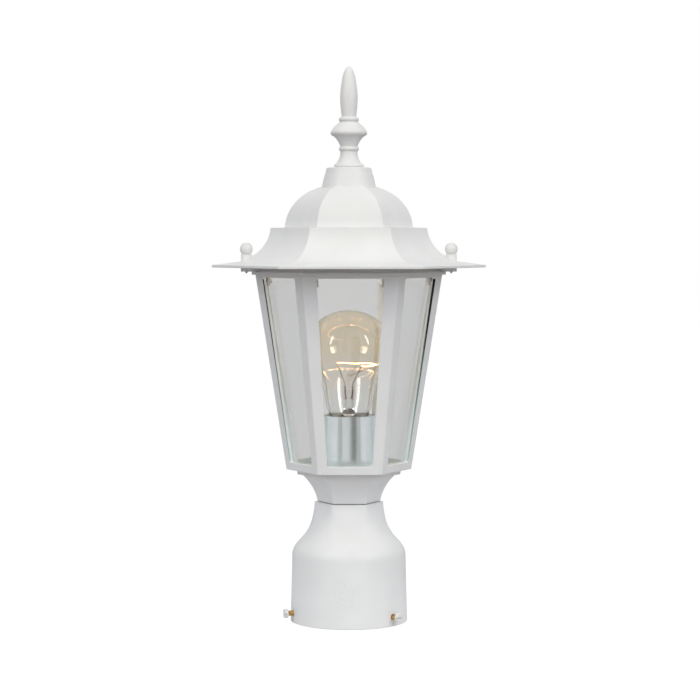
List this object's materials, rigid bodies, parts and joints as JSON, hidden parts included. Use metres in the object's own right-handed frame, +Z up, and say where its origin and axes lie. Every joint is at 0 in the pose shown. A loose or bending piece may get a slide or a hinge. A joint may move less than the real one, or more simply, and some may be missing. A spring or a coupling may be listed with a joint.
{
  "type": "post top lantern",
  "caption": "Hexagonal glazed lantern with a domed, brimmed roof, a turned finial and a round fitter that slips over a lamp post.",
  "frame": {"origin": "centre of the fitter's mouth, at the underside of the fitter", "axes": "+Z up along the post, +X to the viewer's right through a corner of the cage, the front window faces -Y"},
  "size_m": [0.1964, 0.17, 0.3975],
  "materials": {
    "white_casting": "satin white paint with a fine texture over a die casting",
    "pane_glass": "clear flat glass with a teal cut edge",
    "spring_steel": "zinc plated sheet",
    "plated_steel": "zinc plated",
    "black_plastic": "moulded",
    "porcelain": "glazed white porcelain",
    "brass": "plain",
    "sleeve_white": "gloss white paint",
    "green_screw": "green finish",
    "brass_white_head": "brass shank, head painted white",
    "bulb_glass": "clear blown glass",
    "base_metal": "pressed shell",
    "black_glass": "black glass insulator",
    "lead_wire": "nickel wire",
    "filament": "tungsten wire, lit"
  },
  "bodies": {
    "lantern": {"fitter": "white_casting", "neck": "white_casting", "cage": "white_casting", "pane_front": "pane_glass", "pane_front_left": "pane_glass", "pane_front_right": "pane_glass", "pane_back": "pane_glass", "pane_back_left": "pane_glass", "pane_back_right": "pane_glass", "pane_clips": "spring_steel", "pane_clip_screws": "plated_steel", "nipple": "plated_steel", "wire_bushing": "black_plastic", "nipple_nut_lower": "plated_steel", "nipple_washer_lower": "plated_steel", "nipple_nut_upper": "plated_steel", "socket_hub": "plated_steel", "socket_body": "porcelain", "socket_screw_shell": "brass", "socket_center_contact": "brass", "socket_terminal_screws": "brass", "socket_sleeve": "sleeve_white", "ground_screw": "green_screw"},
    "roof": {"roof": "white_casting", "roof_washer": "plated_steel", "roof_nut": "plated_steel", "finial_stud": "plated_steel"},
    "finial": {"finial": "white_casting"},
    "ball_screw_left": {"ball_screw_left": "brass_white_head"},
    "ball_screw_right": {"ball_screw_right": "brass_white_head"},
    "bulb": {"bulb_glass": "bulb_glass", "bulb_base_shell": "base_metal", "bulb_base_insulator": "black_glass", "bulb_base_contact": "base_metal", "bulb_stem": "bulb_glass", "bulb_leads": "lead_wire", "bulb_supports": "lead_wire", "bulb_filament": "filament"},
    "set_screw_left": {"set_screw_left": "brass_white_head"},
    "set_screw_right": {"set_screw_right": "brass_white_head"},
    "set_screw_back": {"set_screw_back": "brass_white_head"}
  },
  "joints": [
    {"name": "roof_lift", "type": "slide", "parent": "lantern", "child": "roof", "axis": [0, 0, 1], "range_m": [0, 0.12]},
    {"name": "finial_turn", "type": "hinge", "parent": "roof", "child": "finial", "pos_m": [0, 0, 0.326], "axis": [0, 0, 1], "continuous": true},
    {"name": "ball_screw_left_out", "type": "slide", "parent": "roof", "child": "ball_screw_left", "axis": [0, 0, 1], "range_m": [0, 0.015]},
    {"name": "ball_screw_right_out", "type": "slide", "parent": "roof", "child": "ball_screw_right", "axis": [0, 0, 1], "range_m": [0, 0.015]},
    {"name": "bulb_out", "type": "slide", "parent": "lantern", "child": "bulb", "axis": [0, 0, 1], "range_m": [0, 0.027]},
    {"name": "set_screw_left_in", "type": "slide", "parent": "lantern", "child": "set_screw_left", "axis": [0.9563, 0.2924, 0], "range_m": [-0.003, 0.004]},
    {"name": "set_screw_right_in", "type": "slide", "parent": "lantern", "child": "set_screw_right", "axis": [-0.7314, 0.682, 0], "range_m": [-0.003, 0.004]},
    {"name": "set_screw_back_in", "type": "slide", "parent": "lantern", "child": "set_screw_back", "axis": [-0.225, -0.9744, 0], "range_m": [-0.003, 0.004]}
  ]
}
